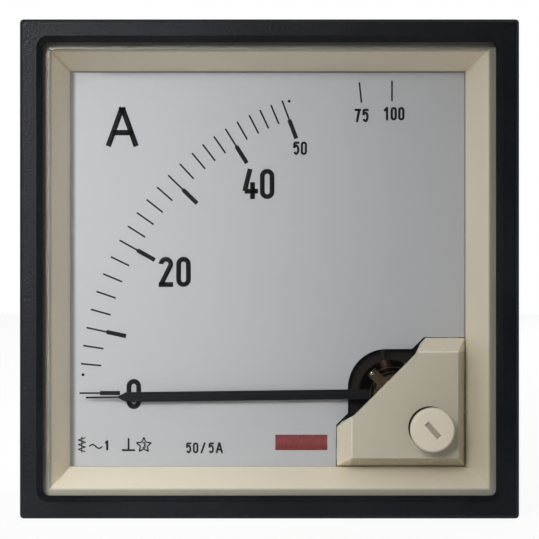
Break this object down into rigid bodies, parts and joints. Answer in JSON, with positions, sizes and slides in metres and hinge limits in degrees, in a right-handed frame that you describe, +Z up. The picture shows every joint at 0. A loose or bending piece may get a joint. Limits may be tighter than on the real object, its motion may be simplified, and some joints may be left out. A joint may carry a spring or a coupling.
{
  "type": "analog panel meter",
  "caption": "Square moving-iron panel ammeter with a quarter-circle scale, a pivoted pointer, a zero adjuster in the glass, rear screw terminals and side clamps for a panel cut-out.",
  "frame": {"origin": "centre of the panel's front plane, on which the front frame's back face rests", "axes": "+X to the right seen from the front, +Y into the panel, towards the terminals, +Z up"},
  "size_m": [0.1006, 0.0753, 0.096],
  "materials": {
    "black_plastic": "moulded black plastic with a fine grain",
    "clear_glass": "clear float glass",
    "beige_plastic": "moulded beige plastic",
    "dial_white": "matt white lacquer on sheet metal",
    "scale_black": "printed black ink",
    "bobbin_brown": "brown phenolic moulding",
    "copper_wire": "lacquered copper wire",
    "soft_iron": "annealed iron sheet",
    "screw_steel": "zinc-plated steel",
    "movement_brass": "turned and stamped brass",
    "jewel": "polished synthetic sapphire",
    "pointer_black": "matt black lacquer on aluminium sheet",
    "light_alloy": "rolled aluminium",
    "terminal_brass": "machined brass",
    "clamp_steel": "zinc-plated steel"
  },
  "bodies": {
    "case": {"front_bezel": "black_plastic", "rear_housing": "black_plastic", "carrier_plate": "black_plastic", "damping_chamber": "black_plastic", "glass_window": "clear_glass", "inner_frame": "beige_plastic", "corner_cover": "beige_plastic", "dial_plate": "dial_white", "scale_marks": "scale_black", "coil_bobbin": "bobbin_brown", "coil_winding": "copper_wire", "coil_leads": "copper_wire", "fixed_iron": "soft_iron", "carrier_screws": "screw_steel", "bobbin_screws": "screw_steel", "chamber_screws": "screw_steel", "bridge_screws": "screw_steel", "bridge_pillars": "movement_brass", "front_bridge": "movement_brass", "jewel_screws": "movement_brass", "jewel_locknuts": "movement_brass", "jewel_cups": "jewel", "terminal_studs": "terminal_brass", "inner_nuts": "terminal_brass", "washers": "terminal_brass", "terminal_nuts": "terminal_brass", "left_clamp": "clamp_steel", "right_clamp": "clamp_steel"},
    "moving_system": {"spindle": "screw_steel", "pointer": "pointer_black", "balance_cross": "light_alloy", "balance_weights": "movement_brass", "moving_iron": "soft_iron", "damping_vane": "light_alloy", "spring_collet": "movement_brass"},
    "zero_arm": {"zero_lever": "movement_brass", "hairspring": "movement_brass"},
    "adjuster": {"zero_adjuster": "beige_plastic"},
    "left_screw": {"left_clamp_screw": "clamp_steel"},
    "right_screw": {"right_clamp_screw": "clamp_steel"}
  },
  "joints": [
    {"name": "pointer_swing", "type": "hinge", "parent": "case", "child": "moving_system", "pos_m": [0.0248, 0.015, -0.0248], "axis": [0, 1, 0], "range_deg": [-2, 92], "stiffness_Nm_per_rad": 0.00005, "deforming": ["hairspring"]},
    {"name": "zero_adjuster_turn", "type": "hinge", "parent": "case", "child": "adjuster", "pos_m": [0.0314, -0.005, -0.031], "axis": [0, 1, 0], "range_deg": [-35, 35]},
    {"name": "zero_lever_swing", "type": "hinge", "parent": "case", "child": "zero_arm", "pos_m": [0.0248, 0.0004, -0.0248], "axis": [0, 1, 0], "range_deg": [-4.3, 4.3]},
    {"name": "left_clamp_screw_slide", "type": "slide", "parent": "case", "child": "left_screw", "axis": [0, -1, 0], "range_m": [0, 0.009]},
    {"name": "right_clamp_screw_slide", "type": "slide", "parent": "case", "child": "right_screw", "axis": [0, -1, 0], "range_m": [0, 0.009]}
  ],
  "couplings": [
    {"joint": "zero_lever_swing", "follows": "zero_adjuster_turn", "ratio": 0.117}
  ]
}
